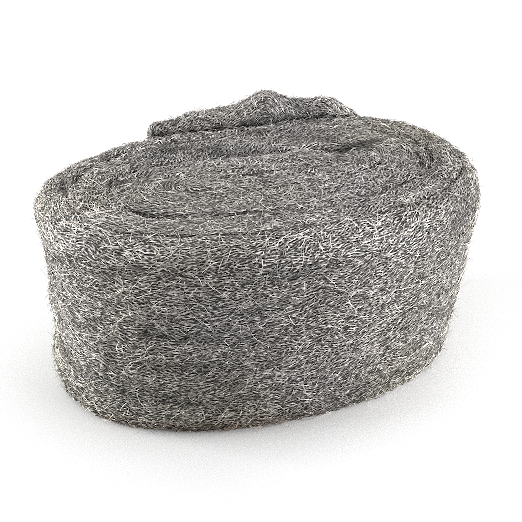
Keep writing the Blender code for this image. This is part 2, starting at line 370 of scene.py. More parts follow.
def place_points(angle, reach, height):
    """Points of the roll. Every turn is an oval between the core line and the outline."""
    c, s = cos(radians(angle)), sin(radians(angle))
    down = 1.0 - height / STRIP_WIDTH
    outline_x = HALF_LENGTH * signed_power(c, 2 / OVAL_FULLNESS)
    outline_y = HALF_DEPTH * signed_power(s, 2 / OVAL_FULLNESS)
    share = reach / HALF_DEPTH

    belly = BELLY * np.exp(-(turned_away(angle, BELLY_ANGLE) / BELLY_SPREAD) ** 2)
    belly = belly * smooth_step((height / STRIP_WIDTH - BELLY_FOOT) / BELLY_BLEND)
    level = np.ones_like(height)
    on_outline = np.stack([level * outline_x, level * outline_y, height], axis=-1)
    marks = WALL_LUMPS * noise_field(on_outline / LUMP_SIZE) - crease_depth(angle, height)
    share = share + (belly * share ** BELLY_FADE + marks * share ** MARKS_FADE) / HALF_DEPTH * share
    x = (1.0 - share) * CORE_LINE / 2 * c + share * outline_x
    y = share * outline_y + BOW * (share * outline_x / HALF_LENGTH) ** 2

    dents = hollow_depth(angle, reach)
    dents = dents + TOP_LUMPS * noise_field(np.stack([x, y, level * STRIP_WIDTH], axis=-1) / LUMP_SIZE)
    near_top = smooth_step((height - STRIP_WIDTH + DENTS_REACH_DOWN) / DENTS_REACH_DOWN)
    x = x * (1.0 - (1.0 - BASE_LENGTH / ROLL_LENGTH) * down) + BASE_SHIFT * signed_power(down, BASE_CURVE)
    y = y * (1.0 - (1.0 - BASE_DEPTH / ROLL_DEPTH) * down)
    return np.stack([x, y, height - dents * near_top], axis=-1)


def groove(back):
    """Width and depth of the rounding on each side of the groove outside a place of the strip."""
    across = swell(back, [(place, spread, width) for place, spread, width, _ in OPEN_GROOVES])
    drop = swell(back, [(place, spread, depth) for place, spread, _, depth in OPEN_GROOVES])
    return max(GROOVE_ACROSS + across, LEAST_ACROSS), max(GROOVE_DROP + drop, LEAST_DROP)


def section(back):
    """Outline of the strip's cross-section as reach, height and how closely its mesh follows it."""
    inner, outer = inner_reach(back), outer_reach(back)
    torn = 1.0 - np.sqrt(1.0 - np.clip(1.0 - (back + TAIL_MORE) / TAIL_END, 0.0, 1.0) ** 2)
    thinned = TAIL_END_THINNING * (outer - inner) * torn
    inner, outer = inner + thinned, outer - thinned
    thick = outer - inner
    up = raised(back)
    top = STRIP_WIDTH + (FLAP_RISE + swell(back, FLAP_PEAKS)) * up - TAIL_END_DROP * torn

    outer_across, outer_drop = groove(back)
    inner_across, inner_drop = groove(back + 360.0)
    outer_across += (FLAP_ROUND - outer_across) * up
    outer_drop += (FLAP_ROUND - outer_drop) * up
    inner_across += (FLAP_LEAN - inner_across) * up
    inner_drop += (FLAP_RISE - inner_drop) * up
    outer_across = min(outer_across, EDGE_LIMIT * thick)
    inner_across = min(inner_across, EDGE_LIMIT * thick)
    outside = back < 360.0
    foot = min(FOOT_ROUND if outside else FOOT_GROOVE_ROUND, FOOT_LIMIT * thick)
    inner_foot = min(FOOT_GROOVE_ROUND, FOOT_LIMIT * thick)

    def top_height(reach, edge_drop):
        return top - edge_drop - rim_fall(reach) * (1.0 - up)

    arc = np.linspace(0.0, pi / 2, ARC_POINTS)
    wall_top = float(top_height(outer, outer_drop))
    wall = np.linspace(foot, wall_top, WALL_POINTS)[1:-1]
    upper_face = np.linspace(outer - outer_across, inner + inner_across, TOP_POINTS)[1:-1]
    inner_wall = np.linspace(top_height(inner, inner_drop), inner_foot, INNER_WALL_POINTS)[1:]
    outer_arc = outer - outer_across * (1.0 - np.cos(arc))
    inner_arc = inner + inner_across * (1.0 - np.sin(arc))
    reach = np.concatenate([
        [inner + inner_foot, outer - foot],
        outer - foot + foot * np.sin(arc[1:]),
        np.full(wall.size, outer),
        outer_arc,
        upper_face,
        inner_arc,
        np.full(inner_wall.size, inner),
    ])
    height = np.concatenate([
        [0.0, 0.0],
        foot - foot * np.cos(arc[1:]),
        wall,
        top_height(outer_arc, outer_drop * (1.0 - np.sin(arc))),
        top_height(upper_face, 0.0),
        top_height(inner_arc, inner_drop * (1.0 - np.cos(arc))),
        inner_wall,
    ])
    open_depth = OPEN_DEPTH + FLAP_RISE * up
    closeness = HIDDEN_SHARE + np.exp(-np.maximum(wall_top - height, 0.0) / open_depth)
    wall_end = 1 + ARC_POINTS + wall.size
    closeness[:2] = UNDER_SHARE
    if outside:
        closeness[2:wall_end] = 1.0
    closeness[wall_end:-inner_wall.size] = TOP_SHARE
    return reach, height, closeness


def ring(back):
    """One ring of the body's mesh, with its places across the strip and how far creases press it in."""
    reach, height, closeness = section(back)
    reach, height = np.append(reach, reach[0]), np.append(height, height[0])
    steps = np.hypot(np.diff(reach), np.diff(height))
    spread = np.concatenate([[0.0], np.cumsum(steps * closeness)])
    across = np.concatenate([[0.0], np.cumsum(steps)])
    wanted = np.linspace(0.0, spread[-1], RING_POINTS + 1)[:-1]
    reach, height = np.interp(wanted, spread, reach), np.interp(wanted, spread, height)
    pressed = crease_depth(TAIL_ANGLE - back, height) * (back < 360.0)
    return place_points(TAIL_ANGLE - back, reach, height), np.interp(wanted, spread, across), pressed


def winding_stations():
    """Places along the strip, in degrees back from the tail."""
    outer = np.arange(-TAIL_MORE, OUTER_END, OUTER_STEP)
    inner = np.arange(OUTER_END, WINDING - INNER_STEP / 2, INNER_STEP)
    return np.concatenate([outer, inner, [WINDING]])


def grid_normals(points):
    """Normals of a grid of points that is closed along its second axis."""
    along = np.gradient(points, axis=0)
    across = np.roll(points, -1, axis=1) - np.roll(points, 1, axis=1)
    normals = np.cross(across, along)
    return normals / np.maximum(np.linalg.norm(normals, axis=2, keepdims=True), 1e-12)


def grid_quads(rings, points):
    """Corners of the faces of such a grid, by number."""
    r = np.arange(rings - 1)[:, None]
    n = np.arange(points)[None, :]
    beside = (n + 1) % points
    quads = [r * points + n, r * points + beside, (r + 1) * points + beside, (r + 1) * points + n]
    return np.stack(quads, axis=-1).reshape(-1, 4)


def at_corners(field):
    """Values of such a grid at the four corners of each face."""
    beside = np.roll(field, -1, axis=1)
    return np.stack([field[:-1], beside[:-1], beside[1:], field[1:]], axis=2)


class Body:
    """The wound strip as a grid of points: rings along the winding, closed round the section."""

    def __init__(self):
        self.back = winding_stations()
        points, self.across, self.pressed = [np.array(each) for each in zip(*map(ring, self.back))]
        fitted = points[points[..., 2] > FITTED_ABOVE]
        low, high = fitted.min(axis=0), fitted.max(axis=0)
        low[2] = 0.0
        box_low, box_high = [np.array(corner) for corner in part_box("wool_roll")]
        fit = (box_high - box_low) / (high - low)
        fit[2] = 1.0
        points = (points - low) * fit + box_low
        steps = np.linalg.norm(np.diff(points.mean(axis=1), axis=0), axis=1)
        self.along = np.concatenate([[0.0], np.cumsum(steps)])
        self.streaks = self.find_streaks()
        depth, stretch = TOP_RELIEF_DEPTH
        on_top = smooth_step((points[..., 2] - STRIP_WIDTH + depth) / stretch)
        relief = (WALL_RELIEF + TOP_RELIEF * on_top) * self.streaks
        self.points = points + grid_normals(points) * relief[..., None]
        self.points[..., 2] = np.maximum(self.points[..., 2], 0.0)
        self.normals = grid_normals(self.points)

    def find_streaks(self):
        """Streaks of the matted surface along the strip, from about -1.6 to 1.6."""
        along = np.repeat(self.along[:, None], RING_POINTS, axis=1)
        strip = np.stack([along / STREAK_LENGTH, self.across / STREAK_WIDTH, along * 0], axis=-1)
        return noise_field(strip) + FINE_SHARE * noise_field(strip * np.array(FINE_SCALE) + FINE_PLACE)


def tint_at(points):
    """Colour of the steel at each point: warmer towards both ends and the foot, olive at the foot's ends."""
    x, y, z = points[..., 0], points[..., 1], points[..., 2]
    ends = np.abs(x / HALF_LENGTH) ** 2
    foot = smooth_step(1.0 - z / (FOOT_REACH * STRIP_WIDTH))
    warm = WARM_SHARE + WARM_ENDS * ends + WARM_FOOT * foot + WARM_PATCHES * noise_field(points / TINT_SIZE)
    warm = np.clip(warm, 0.0, 1.0)[..., None]
    tint = np.array(COOL_STEEL) * (1.0 - warm) + np.array(WARM_STEEL) * warm
    tint[..., 1] += OLIVE * ends * foot
    front = smooth_step(-y / RUST_FRONT) * np.exp(-((x - RUST_MIDDLE) / RUST_SPREAD) ** 2)
    rusty = front * smooth_step(RUST_TOP - z / RUST_HEIGHT)
    return tint * (1.0 - rusty[..., None] * (1.0 - np.array(RUST)))


def new_mesh(name, points, faces_corners, faces_size):
    """A mesh from flat arrays of points, face corners and corners per face."""
    mesh = bpy.data.meshes.new(name)
    mesh.vertices.add(len(points))
    mesh.vertices.foreach_set("co", np.ascontiguousarray(points, dtype=np.float32).ravel())
    mesh.loops.add(len(faces_corners))
    mesh.loops.foreach_set("vertex_index", faces_corners.astype(np.int32))
    mesh.polygons.add(len(faces_size))
    starts = np.concatenate([[0], np.cumsum(faces_size)[:-1]]).astype(np.int32)
    mesh.polygons.foreach_set("loop_start", starts)
    mesh.update(calc_edges=True)
    mesh.validate()
    return mesh


def add_map(mesh, name, places):
    layer = mesh.uv_layers.new(name=name)
    layer.data.foreach_set("uv", places.astype(np.float32).ravel())


def add_number(mesh, name, values):
    attribute = mesh.attributes.new(name, "FLOAT", "POINT")
    attribute.data.foreach_set("value", values.astype(np.float32).ravel())


def add_tint(mesh, colours):
    attribute = mesh.attributes.new("tint", "FLOAT_VECTOR", "POINT")
    attribute.data.foreach_set("vector", colours.astype(np.float32).ravel())


def make_piece(name, mesh, material):
    mesh.materials.append(material)
    mesh.shade_smooth()
    piece = bpy.data.objects.new(name, mesh)
    bpy.context.scene.collection.objects.link(piece)
    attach(piece, "root")
    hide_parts("wool_roll")


# The strip is cut into rows for its baked map, with its two end faces beside them
ATLAS_ROWS = 4
ATLAS_WIDTH = 0.96
ATLAS_MARGIN = 0.03
ATLAS_GAP = 0.012
ATLAS_END_LEVELS = (0.6, 0.1)
ATLAS_END_SCALE = 4.0
SEAM = 0.001  # width of the last faces round the section in the map in metres


def atlas(body):
    """Places in the baked map for the corners of all faces."""
    rings, points = body.points.shape[:2]
    per_row = -(-(rings - 1) // ATLAS_ROWS)
    r = np.arange(rings - 1)[:, None]
    row = r // per_row
    left = (r - row * per_row) / per_row * ATLAS_WIDTH + np.zeros(points)
    right = (r + 1 - row * per_row) / per_row * ATLAS_WIDTH + np.zeros(points)
    share = np.arange(points + 1) / points
    level = (row + ATLAS_MARGIN + (1.0 - 2 * ATLAS_MARGIN) * share) / ATLAS_ROWS
    lower, upper = level[:, :-1], level[:, 1:]
    u = np.stack([left, left, right, right], axis=-1)
    v = np.stack([lower, upper, upper, lower], axis=-1)
    maps = [np.stack([u, v], axis=-1).reshape(-1, 2)]
    for face, foot in zip((body.points[0, ::-1], body.points[-1]), ATLAS_END_LEVELS):
        across = ATLAS_WIDTH + ATLAS_GAP + np.linalg.norm(face[:, :2] - face[0, :2], axis=1)
        maps.append(np.stack([across, foot + face[:, 2] * ATLAS_END_SCALE], axis=-1))
    return np.concatenate(maps)


def strip_map(body):
    """Places in metres along and across the strip for the corners of all faces."""
    rings, points = body.points.shape[:2]
    along = np.broadcast_to(body.along[:, None], (rings, points))
    around = np.concatenate([body.across, body.across[:, -1:] + SEAM], axis=1)
    u = np.stack([along[:-1], along[:-1], along[1:], along[1:]], axis=-1)
    v = np.stack([around[:-1, :-1], around[:-1, 1:], around[1:, 1:], around[1:, :-1]], axis=-1)
    ends = np.concatenate([body.points[0, ::-1], body.points[-1]])[:, [0, 2]]
    return np.concatenate([np.stack([u, v], axis=-1).reshape(-1, 2), ends])


def build_body(body, surface, material):
    rings, points = body.points.shape[:2]
    first_end = np.arange(points)[::-1]
    last_end = (rings - 1) * points + np.arange(points)
    quads = grid_quads(rings, points)
    corners = np.concatenate([quads.ravel(), first_end, last_end])
    sizes = np.concatenate([np.full(len(quads), 4), [points, points]])
    mesh = new_mesh("matted_strip", body.points.reshape(-1, 3), corners, sizes)
    add_map(mesh, "Strip", strip_map(body))
    add_map(mesh, "OFBake", atlas(body))

    # Painted shade: faces that don't show are painted black, the others take the painted shade of their faces
    on_faces = (surface.shade * surface.shows).reshape(rings - 1, points)
    around = 0.5 * (on_faces + np.roll(on_faces, 1, axis=1))
    between = 0.5 * (around[1:] + around[:-1])
    add_number(mesh, "shade", np.concatenate([around[:1], between, around[-1:]]))
    add_tint(mesh, tint_at(body.points))
    upward = np.clip(body.normals[..., 2], 0.0, 1.0)
    add_number(mesh, "lean", lean_at(body.back[:, None], upward))
    make_piece("wool_roll_matted_strip", mesh, material)


def material_nodes(name, metallic, roughness):
    material = bpy.data.materials.new(name)
    material.use_nodes = True
    nodes, links = material.node_tree.nodes, material.node_tree.links
    shader = nodes["Principled BSDF"]
    shader.inputs["Metallic"].default_value = metallic
    shader.inputs["Roughness"].default_value = roughness
    return material, nodes, links, shader


def new_node(nodes, kind, **inputs):
    """A new node with these inputs, where _ stands for a space in a name."""
    node = nodes.new(kind)
    for name, value in inputs.items():
        node.inputs[name.replace("_", " ")].default_value = value
    return node


def stored(nodes, name, output="Fac"):
    """What a mesh stores under a name."""
    node = nodes.new("ShaderNodeAttribute")
    node.attribute_name = name
    return node.outputs[output]


def worked_out(nodes, links, operation, first, second, kind="ShaderNodeMath"):
    """What an operation makes of two numbers, or of two vectors."""
    node = nodes.new(kind)
    node.operation = operation
    links.new(first, node.inputs[0])
    links.new(second, node.inputs[1])
    return node.outputs[0]


def tinted(nodes, links, colour):
    """A colour multiplied by the tint at each point."""
    tint = stored(nodes, "tint", "Vector")
    return worked_out(nodes, links, "MULTIPLY", colour, tint, "ShaderNodeVectorMath")


def grey_ramp(nodes, links, value, stops):
    """A grey for each value, through the stops (value, grey)."""
    node = nodes.new("ShaderNodeValToRGB")
    elements = node.color_ramp.elements
    while len(elements) < len(stops):
        elements.new(0.5)
    for element, (place, grey) in zip(elements, stops):
        element.position = place
        element.color = (grey, grey, grey, 1.0)
    links.new(value, node.inputs["Fac"])
    return node.outputs["Color"]


# Strokes and fibres climb to the right round one place, and lie across the strip at the back of the
# upper face: degrees of turn, angle of the place, spread
LEAN = (19.0, 304.0, 50.0)
BACK_LEAN = (52.0, 98.0, 48.0)
TOP_LEAN = 0.6  # share by which the first is more on the upper face


def lean_at(back, upward):
    """How far the fibres turn from the run of the strip, in radians."""
    angle = TAIL_ANGLE - back
    turn, place, spread = LEAN
    front = turn * np.exp(-(turned_away(angle, place) / spread) ** 2) * (1.0 + TOP_LEAN * upward)
    turn, place, spread = BACK_LEAN
    behind = turn * np.exp(-(turned_away(angle, place) / spread) ** 2) * upward * (1.0 - raised(back))
    return np.radians(front + behind)


# Neighbouring strokes and fibres lie much the same way, and that way changes over about this distance
DRIFT_SIZE = 0.0065
# The strokes of the body are drawn out along the strip by this much, and wander so many degrees
STROKE_STRETCH = 1.3
STROKE_WANDER = 36.0
# Two layers of strokes: place in the pattern, turn in degrees, size, waves in each stroke
STROKE_LAYERS = [
    (0.13, -8.0, 0.0012, 1.2),
    (0.71, 14.0, 0.0011, 1.15),
]
STROKE_GREYS = [(0.38, 0.004), (0.55, 0.05), (0.74, 0.75)]
FIBRE_GREYS = [(0.0, 0.02), (0.35, 0.20), (0.75, 0.62), (1.0, 0.95)]


def stroke_field(nodes, links, place, seed, turn, size, waves):
    """Bright strokes side by side, like fibres that lie much the same way."""
    shifted = nodes.new("ShaderNodeVectorMath")
    shifted.operation = "MULTIPLY_ADD"
    shifted.inputs[1].default_value = (1.0 / STROKE_STRETCH, 1.0, 1.0)
    shifted.inputs[2].default_value = (seed, seed * 0.7, 0.0)
    links.new(place, shifted.inputs[0])
    drift = new_node(nodes, "ShaderNodeTexNoise", Scale=1.0 / DRIFT_SIZE, Detail=0.0)
    links.new(shifted.outputs["Vector"], drift.inputs["Vector"])
    least, most = radians(90.0 + turn - STROKE_WANDER), radians(90.0 + turn + STROKE_WANDER)
    way = new_node(nodes, "ShaderNodeMapRange", From_Min=0.25, From_Max=0.75, To_Min=least, To_Max=most)
    way.clamp = False
    links.new(drift.outputs["Fac"], way.inputs["Value"])
    leaning = worked_out(nodes, links, "SUBTRACT", way.outputs["Result"], stored(nodes, "lean"))
    strokes = new_node(nodes, "ShaderNodeTexGabor", Scale=1.0 / size, Frequency=waves, Anisotropy=1.0)
    links.new(shifted.outputs["Vector"], strokes.inputs["Vector"])
    links.new(leaning, strokes.inputs["Orientation"])
    return strokes.outputs["Value"]


def matted_material():
    material, nodes, links, shader = material_nodes("matted_steel", 0.6, 0.65)
    strip = nodes.new("ShaderNodeUVMap")
    strip.uv_map = "Strip"
    layers = [stroke_field(nodes, links, strip.outputs["UV"], *layer) for layer in STROKE_LAYERS]
    lighter = worked_out(nodes, links, "MAXIMUM", *layers)
    # The strokes' colour is scaled by the stored painted shade
    shaded = nodes.new("ShaderNodeVectorMath")
    shaded.operation = "SCALE"
    links.new(grey_ramp(nodes, links, lighter, STROKE_GREYS), shaded.inputs[0])
    links.new(stored(nodes, "shade"), shaded.inputs["Scale"])
    links.new(tinted(nodes, links, shaded.outputs["Vector"]), shader.inputs["Base Color"])
    bump = new_node(nodes, "ShaderNodeBump", Strength=0.6, Distance=0.0003)
    links.new(lighter, bump.inputs["Height"])
    links.new(bump.outputs["Normal"], shader.inputs["Normal"])
    return material


def fibre_material():
    material, nodes, links, shader = material_nodes("steel_fibre", 0.8, 0.45)
    # The stored tone is each fibre's random tone times the painted shade under it
    colour = grey_ramp(nodes, links, stored(nodes, "tone"), FIBRE_GREYS)
    links.new(tinted(nodes, links, colour), shader.inputs["Base Color"])
    return material


# Open air is felt by rays this far tilted from the surface's normal, over this distance
AIR_TILT = 52.0
AIR_RAYS = 8
AIR_REACH = 0.014
AIR_START = 0.0003  # rays start this far over the surface
SHOWN_REACH = 0.004  # a face shows if nothing is this close over it
FACES_DOWN = -0.3  # faces whose normal points further down aren't filled
# Painted shade: the steel's colour is painted darker where little open air is over a face, as in grooves
GROOVE_LIGHT = 0.22  # painted shade: a closed groove's colour keeps this share of its lightness
GROOVE_AIR = (0.15, 0.75)  # open air at which the painted shade begins to lift, and over how much more
GROOVE_POWER = 1.3
CREASE_FADE = 0.0018  # creases are painted darker over this depth, as painted shade
# Painted shade and light along the streaks of the relief: low streaks are painted darker, high ones lighter,
# by this share
STREAK_SHADE = 0.16
SHADE_LIMITS = (0.05, 1.5)


class Surface:
    """The body's faces as places where fibres may lie."""

    def __init__(self, body):
        self.body = body
        rings, points = body.points.shape[:2]
        self.corners = at_corners(body.points).reshape(-1, 4, 3)
        first, second, third, fourth = self.corners.transpose(1, 0, 2)
        self.area = 0.5 * np.linalg.norm(np.cross(fourth - second, third - first), axis=1)
        self.along = unit((fourth + third) - (first + second))
        self.centre = self.corners.mean(axis=1)
        self.normal = unit(at_corners(body.normals).reshape(-1, 4, 3).mean(axis=1))
        self.back = np.repeat(0.5 * (body.back[1:] + body.back[:-1]), points)
        places = [Vector(place) for place in body.points.reshape(-1, 3)]
        self.tree = BVHTree.FromPolygons(places, grid_quads(rings, points).tolist())
        self.shows, self.air = self.find_air()
        # Filled grooves count as open air: more fibres lie there and their painted shade is lifted
        filled = swell(self.back, FILLED_GROOVES) + swell(self.back + 360.0, FILLED_GROOVES)
        self.air += (1.0 - self.air) * np.minimum(filled, 1.0) * (self.normal[:, 2] > FACES_DOWN)
        self.shade = self.find_shade()

    def find_air(self):
        """Whether each face shows, and how open the air over it is, from 0 to 1."""
        shows = np.zeros(len(self.centre))
        air = np.zeros(len(self.centre))
        tilt = radians(AIR_TILT)
        for i, (centre, normal, along) in enumerate(zip(self.centre, self.normal, self.along)):
            normal = Vector(normal)
            start = Vector(centre) + normal * AIR_START
            if self.tree.ray_cast(start, normal, SHOWN_REACH)[0] is not None:
                continue
            shows[i] = 1.0
            first = Vector(along)
            second = normal.cross(first)
            for k in range(AIR_RAYS):
                turn = 2 * pi * k / AIR_RAYS
                way = normal * cos(tilt) + (first * cos(turn) + second * sin(turn)) * sin(tilt)
                hit = self.tree.ray_cast(start, way, AIR_REACH)
                air[i] += 1.0 if hit[0] is None else hit[3] / AIR_REACH
        return shows, air / AIR_RAYS

    def find_shade(self):
        """Painted shade at each face: its colour is painted darker in grooves and creases and along the low
        streaks, with the painted light and shade of the listed streaks and patches.
        """
        pressed = at_corners(self.body.pressed).mean(axis=2).ravel()
        streaks = at_corners(self.body.streaks).mean(axis=2).ravel()
        least, stretch = GROOVE_AIR
        open_air = np.clip((self.air - least) / stretch, 0.0, 1.0)
        # Painted shade in the grooves, where the air over a face is closed
        shade = GROOVE_LIGHT + (1.0 - GROOVE_LIGHT) * open_air ** GROOVE_POWER
        # Painted shade in the creases of the wall
        shade *= np.exp(-np.maximum(pressed, 0.0) / CREASE_FADE)
        # Painted shade and light along the streaks of the relief
        shade *= 1.0 + STREAK_SHADE * streaks
        # Painted light and shade of the listed streaks and patches
        shade *= painted_light_and_shade(self.centre, TAIL_ANGLE - self.back, self.back < 360.0)
        return np.clip(shade, *SHADE_LIMITS)

    def nearest(self, places):
        """The closest points of the surface to these places, with the normals and the painted shade there."""
        spots = np.empty_like(places)
        normals = np.empty_like(places)
        faces = np.empty(len(places), dtype=int)
        find = self.tree.find_nearest
        for i, place in enumerate(places):
            spots[i], normals[i], faces[i], _ = find(place)
        return spots, normals, self.shade[faces]


def painted_light_and_shade(places, angle, outside):
    """Painted light and shade at each place: how much lighter or darker than usual its colour is painted."""
    x, y, z = places.T
    light = np.ones(len(places))
    depth, stretch = TOP_PAINTED_LIGHT_AND_SHADE_DEPTH
    upper = smooth_step((z - STRIP_WIDTH + depth) / stretch)
    for x1, y1, x2, y2, half_width, amount in TOP_PAINTED_LIGHT_AND_SHADE:
        run = np.array([x2 - x1, y2 - y1])
        share = np.clip(((x - x1) * run[0] + (y - y1) * run[1]) / (run @ run), 0.0, 1.0)
        away = np.hypot(x - x1 - share * run[0], y - y1 - share * run[1])
        light *= 1.0 - amount * np.exp(-(away / half_width) ** 2) * upper
    for height, centre, half_height, spread, amount in WALL_PAINTED_LIGHT_AND_SHADE:
        away = (turned_away(angle, centre) / spread) ** 2 + ((z - height) / half_height) ** 2
        light *= 1.0 - amount * np.exp(-away) * outside
    return light


def unit(vectors):
    return vectors / np.maximum(np.linalg.norm(vectors, axis=-1, keepdims=True), 1e-9)


def on_plane(vectors, normals):
    """Unit vectors along the plane that has these normals."""
    return unit(vectors - normals * (vectors * normals).sum(axis=1, keepdims=True))


def turned(vectors, axes, angles):
    """Vectors turned about unit axes at right angles to them."""
    return vectors * np.cos(angles)[:, None] + np.cross(axes, vectors) * np.sin(angles)[:, None]


# Loose fibres
SEED = 7
FIBRE_PIECES = 5
# Kinds of fibre: count in each piece, length, points, wander, curl, level over the body, lift, radius,
# tone, stray
FIBRE_KINDS = [
    (9500, 0.0046, 3, 1.1, 60.0, (-0.0001, 0.0006), 0.0004, (0.00010, 0.00017), (0.08, 0.90), False),
    (2300, 0.0090, 5, 1.0, 70.0, (0.0001, 0.0008), 0.0006, (0.00007, 0.00013), (0.25, 0.95), False),
    (350, 0.0200, 9, 0.9, 50.0, (0.0003, 0.0008), 0.0007, (0.00006, 0.00009), (0.35, 0.85), False),
    (1500, 0.0055, 5, 2.4, 150.0, (0.0002, 0.0006), 0.0040, (0.00004, 0.00008), (0.3, 0.9), True),
]
# Wander of the fibres in degrees: on the wall, and what the upper face adds
WALL_WANDER = 21.0
TOP_WANDER = 44.0
COMMON_WANDER = 2.2  # the part of it that neighbours have in common, by a noise from -1 to 1
OWN_WANDER = 0.60  # and each fibre's own part
WANDER_PLACE = 31.0
LENGTH_SPREAD = 0.3
# The ends of a fibre dip into the mat, and it arches between them. A stray rises to its far end
ENDS_LEVEL = -0.00025
ARCH_POWER = 0.6
STRAY_POWER = 1.5
STRAY_FOOT = 0.25  # share of a stray's length over which it leaves the mat
OVER_FLOOR = 0.0003  # no fibre is lower than this
TAPER_POWER = 0.5
ROLL_STEP = 0.5  # fibres twist at random, by about this much from point to point
UNDERSIDE = -0.7  # the underside's normals point further down than this
UNDER_DENSITY = 0.35  # share of the usual number of fibres underneath
GROOVE_DENSITY = 0.3  # and in closed grooves
FLAP_FUZZ = 6.0  # extra share of stray fibres on the raised flap
FLAP_BAND = 0.004  # from this far below the common top edge
CELL_MARGIN = 0.1  # inside each fibre's cell in the baked map


def grow(surface, random, count, density, length, points, spread, lean, curl, level, lift, stray):
    """Paths of fibres over the surface, as points, the normals under them and the painted shade there."""
    filled = np.cumsum(surface.area * density)
    evenly = (np.arange(count) + random.random(count)) / count * filled[-1]
    picked = np.minimum(np.searchsorted(filled, evenly), len(filled) - 1)
    u, v = random.random((2, count, 1))
    corners = surface.corners[picked]
    near = corners[:, 0] * (1 - u) + corners[:, 1] * u
    far = corners[:, 3] * (1 - u) + corners[:, 2] * u
    start = near * (1 - v) + far * v
    normal = surface.normal[picked]
    heading = on_plane(surface.along[picked] * random.choice([-1.0, 1.0], (count, 1)), normal)
    wander = noise_field(start / DRIFT_SIZE + WANDER_PLACE) * COMMON_WANDER
    wander = wander + OWN_WANDER * random.normal(0.0, 1.0, count)
    heading = turned(heading, normal, wander * spread[picked] + lean[picked])
    lengths = length * random.lognormal(0.0, LENGTH_SPREAD, count)
    step = lengths / (points - 1)
    bend = random.normal(0.0, curl, count)
    low = level[0] + (level[1] - level[0]) * random.random(count) * surface.air[picked]
    rise = lift * random.random(count) ** 2

    place = start - heading * (lengths / 2)[:, None]
    path = np.empty((count, points, 3))
    normals = np.empty((count, points, 3))
    shade = np.empty((count, points))
    for i, share in enumerate(np.linspace(0.0, 1.0, points)):
        spot, over, shade[:, i] = surface.nearest(place)
        if stray:
            height = (low - ENDS_LEVEL) * min(1.0, share / STRAY_FOOT) + rise * share ** STRAY_POWER
        else:
            height = (low - ENDS_LEVEL + rise) * sin(pi * share) ** ARCH_POWER
        path[:, i] = spot + over * (ENDS_LEVEL + height)[:, None]
        normals[:, i] = over
        heading = on_plane(heading, over)
        heading = turned(heading, over, (bend + random.normal(0.0, curl, count)) * step)
        place = spot + heading * step[:, None]
    path[..., 2] = np.maximum(path[..., 2], OVER_FLOOR)
    return path, normals, shade


def fibre_faces(points):
    """Triangles of one three-sided fibre, and their corners' places in its cell of the baked map."""
    rings = points - 2
    tip, end, last = rings * 3, rings * 3 + 1, (rings - 1) * 3
    u = CELL_MARGIN + (1 - 2 * CELL_MARGIN) * np.linspace(0.0, 1.0, points)
    v = CELL_MARGIN + (1 - 2 * CELL_MARGIN) * np.arange(4) / 3
    faces, places = [], []
    for j in range(3):
        k = (j + 1) % 3
        low, high, middle = v[j], v[j + 1], (v[j] + v[j + 1]) / 2
        for i in range(rings - 1):
            a, b, c, d = i * 3 + j, i * 3 + k, (i + 1) * 3 + k, (i + 1) * 3 + j
            here, there = u[i + 1], u[i + 2]
            faces += [[a, b, c], [a, c, d]]
            places.append([(here, low), (here, high), (there, high)])
            places.append([(here, low), (there, high), (there, low)])
        faces += [[j, tip, k], [last + j, last + k, end]]
        places.append([(u[1], low), (u[0], middle), (u[1], high)])
        places.append([(u[-2], low), (u[-2], high), (u[-1], middle)])
    return np.array(faces), np.array(places)


def fibre_mesh(name, groups, random):
    """One mesh of closed three-sided fibres that taper to a point at both ends."""
    all_points, all_corners, all_shaded_tones, all_tints, all_places = [], [], [], [], []
    cells = int(np.ceil(np.sqrt(sum(len(group[0]) for group in groups))))
    made, offset = 0, 0
    for path, normals, thickness, tone in groups:
        count, points = path.shape[:2]
        run = unit(np.gradient(path, axis=1))
        side = unit(np.cross(run, normals))
        up = np.cross(side, run)
        first_turn = random.random((count, 1)) * 2 * pi
        roll = first_turn + np.cumsum(random.normal(0, ROLL_STEP, (count, points)), axis=1)
        taper = np.sin(pi * np.linspace(0.0, 1.0, points)) ** TAPER_POWER
        radius = thickness[:, None] * taper
        sides = (points - 2) * 3
        verts = np.empty((count, sides + 2, 3))
        for j in range(3):
            turn = roll + j * 2 * pi / 3
            off = side * np.cos(turn)[..., None] + up * np.sin(turn)[..., None]
            verts[:, j:sides:3] = (path + off * radius[..., None])[:, 1:-1]
        verts[:, -2] = path[:, 0]
        verts[:, -1] = path[:, -1]

        faces, places = fibre_faces(points)
        first_vertex = np.arange(count)[:, None] * verts.shape[1] + offset
        cell = made + np.arange(count)
        origin = np.stack([cell % cells, cell // cells], axis=-1)[:, None, :]
        shaded_tones = np.concatenate([np.repeat(tone[:, 1:-1], 3, axis=1), tone[:, :1], tone[:, -1:]], axis=1)
        all_points.append(verts.reshape(-1, 3))
        all_corners.append((faces.reshape(1, -1) + first_vertex).ravel())
        all_places.append(((places.reshape(1, -1, 2) + origin) / cells).reshape(-1, 2))
        all_shaded_tones.append(shaded_tones.ravel())
        all_tints.append(np.repeat(tint_at(path[:, points // 2]), verts.shape[1], axis=0))
        offset += count * verts.shape[1]
        made += count
    corners = np.concatenate(all_corners)
    mesh = new_mesh(name, np.concatenate(all_points), corners, np.full(len(corners) // 3, 3))
    add_map(mesh, "OFBake", np.concatenate(all_places))
    add_number(mesh, "tone", np.concatenate(all_shaded_tones))
    add_tint(mesh, np.concatenate(all_tints))
    return mesh


